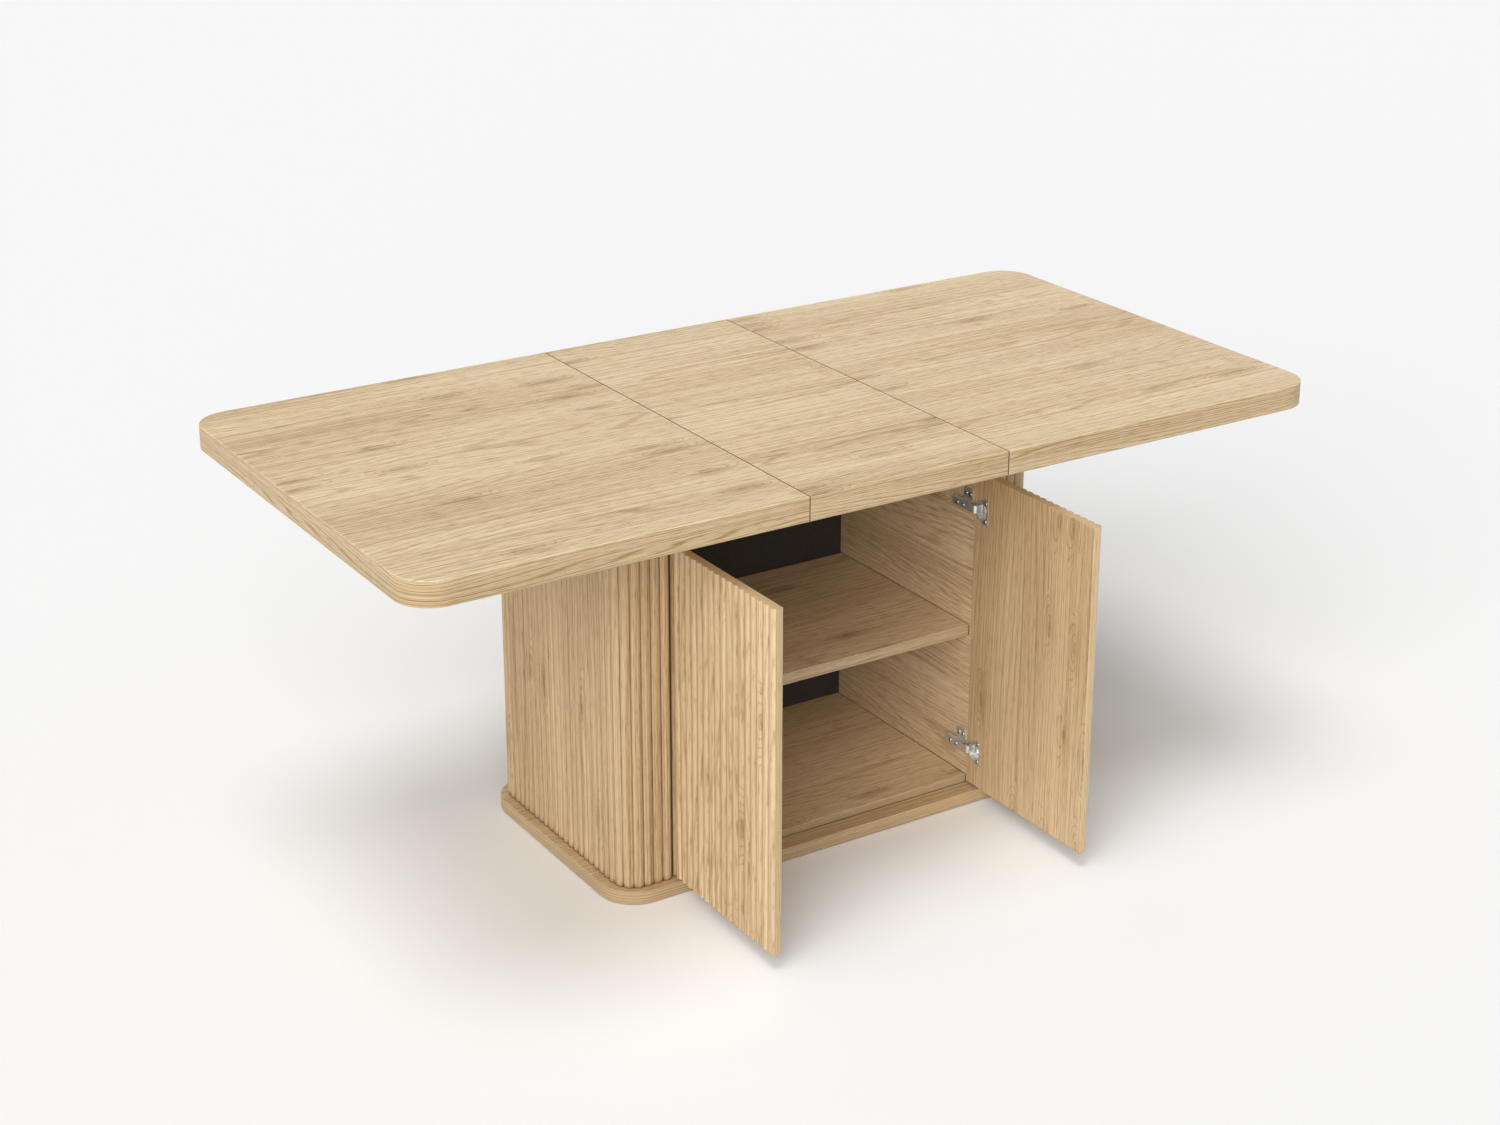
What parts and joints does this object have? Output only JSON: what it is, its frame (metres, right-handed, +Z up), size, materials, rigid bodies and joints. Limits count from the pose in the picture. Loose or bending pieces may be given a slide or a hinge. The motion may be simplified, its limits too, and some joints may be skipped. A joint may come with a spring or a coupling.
{
  "type": "kitchen table with storage cabinet",
  "caption": "Extending oak-finish table on a cupboard pedestal with fluted columns, hinged doors, a shelf and a lift-out centre leaf.",
  "frame": {"origin": "on the floor under the centre of the plinth", "axes": "+X along the table's length to the right seen from the doors, -Y to the front where the doors open, +Z up"},
  "size_m": [1.8, 0.9963, 0.776],
  "materials": {
    "oak_top": "satin",
    "oak_fluted": "satin",
    "oak_board": "satin",
    "oak_back": "satin",
    "dark_lining": "matte",
    "core_wood": "raw",
    "hinge_nickel": "polished",
    "slide_steel": "satin",
    "screw_steel": "satin",
    "nylon": "matte"
  },
  "bodies": {
    "cabinet": {"plinth": "oak_board", "plinth_dowels": "core_wood", "floor_panel": "oak_board", "left_wall": "oak_board", "right_wall": "oak_board", "back_panel": "oak_back", "back_lining": "dark_lining", "top_panel": "core_wood", "panel_screws": "screw_steel", "front_apron": "oak_board", "shelf": "oak_board", "shelf_pins": "screw_steel", "left_column_panel": "oak_fluted", "right_column_panel": "oak_fluted", "left_column_flutes": "oak_fluted", "right_column_flutes": "oak_fluted", "left_column_ribs": "core_wood", "right_column_ribs": "core_wood", "left_column_stiles": "core_wood", "right_column_stiles": "core_wood", "left_slide_tracks": "slide_steel", "right_slide_tracks": "slide_steel", "track_screws": "screw_steel", "leaf_rests": "core_wood", "left_hinge_arms": "hinge_nickel", "right_hinge_arms": "hinge_nickel", "left_hinge_plates": "hinge_nickel", "right_hinge_plates": "hinge_nickel", "left_plate_screws": "screw_steel", "right_plate_screws": "screw_steel", "left_arm_screws": "screw_steel", "right_arm_screws": "screw_steel"},
    "left_door": {"left_door": "oak_fluted", "left_hinge_cups": "hinge_nickel", "left_hinge_pins": "screw_steel", "left_cup_screws": "screw_steel"},
    "right_door": {"right_door": "oak_fluted", "right_hinge_cups": "hinge_nickel", "right_hinge_pins": "screw_steel", "right_cup_screws": "screw_steel"},
    "left_leaf": {"left_leaf": "oak_top", "left_leaf_runners": "slide_steel", "left_runner_screws": "screw_steel", "left_runner_glides": "nylon"},
    "right_leaf": {"right_leaf": "oak_top", "right_leaf_runners": "slide_steel", "right_runner_screws": "screw_steel", "right_runner_glides": "nylon"},
    "centre_leaf": {"centre_leaf": "oak_top"}
  },
  "joints": [
    {"name": "left_door_hinge", "type": "hinge", "parent": "cabinet", "child": "left_door", "pos_m": [-0.3221, -0.225, 0.337], "axis": [0, 0, -1], "range_deg": [-90, 10]},
    {"name": "right_door_hinge", "type": "hinge", "parent": "cabinet", "child": "right_door", "pos_m": [0.3221, -0.225, 0.337], "axis": [0, 0, 1], "range_deg": [-90, 10]},
    {"name": "left_leaf_slide", "type": "slide", "parent": "cabinet", "child": "left_leaf", "axis": [-1, 0, 0], "range_m": [0, 0.03]},
    {"name": "right_leaf_slide", "type": "slide", "parent": "cabinet", "child": "right_leaf", "axis": [1, 0, 0], "range_m": [0, 0.03]},
    {"name": "centre_leaf_lift", "type": "slide", "parent": "cabinet", "child": "centre_leaf", "axis": [0, 0, 1], "range_m": [0, 0.25]}
  ]
}
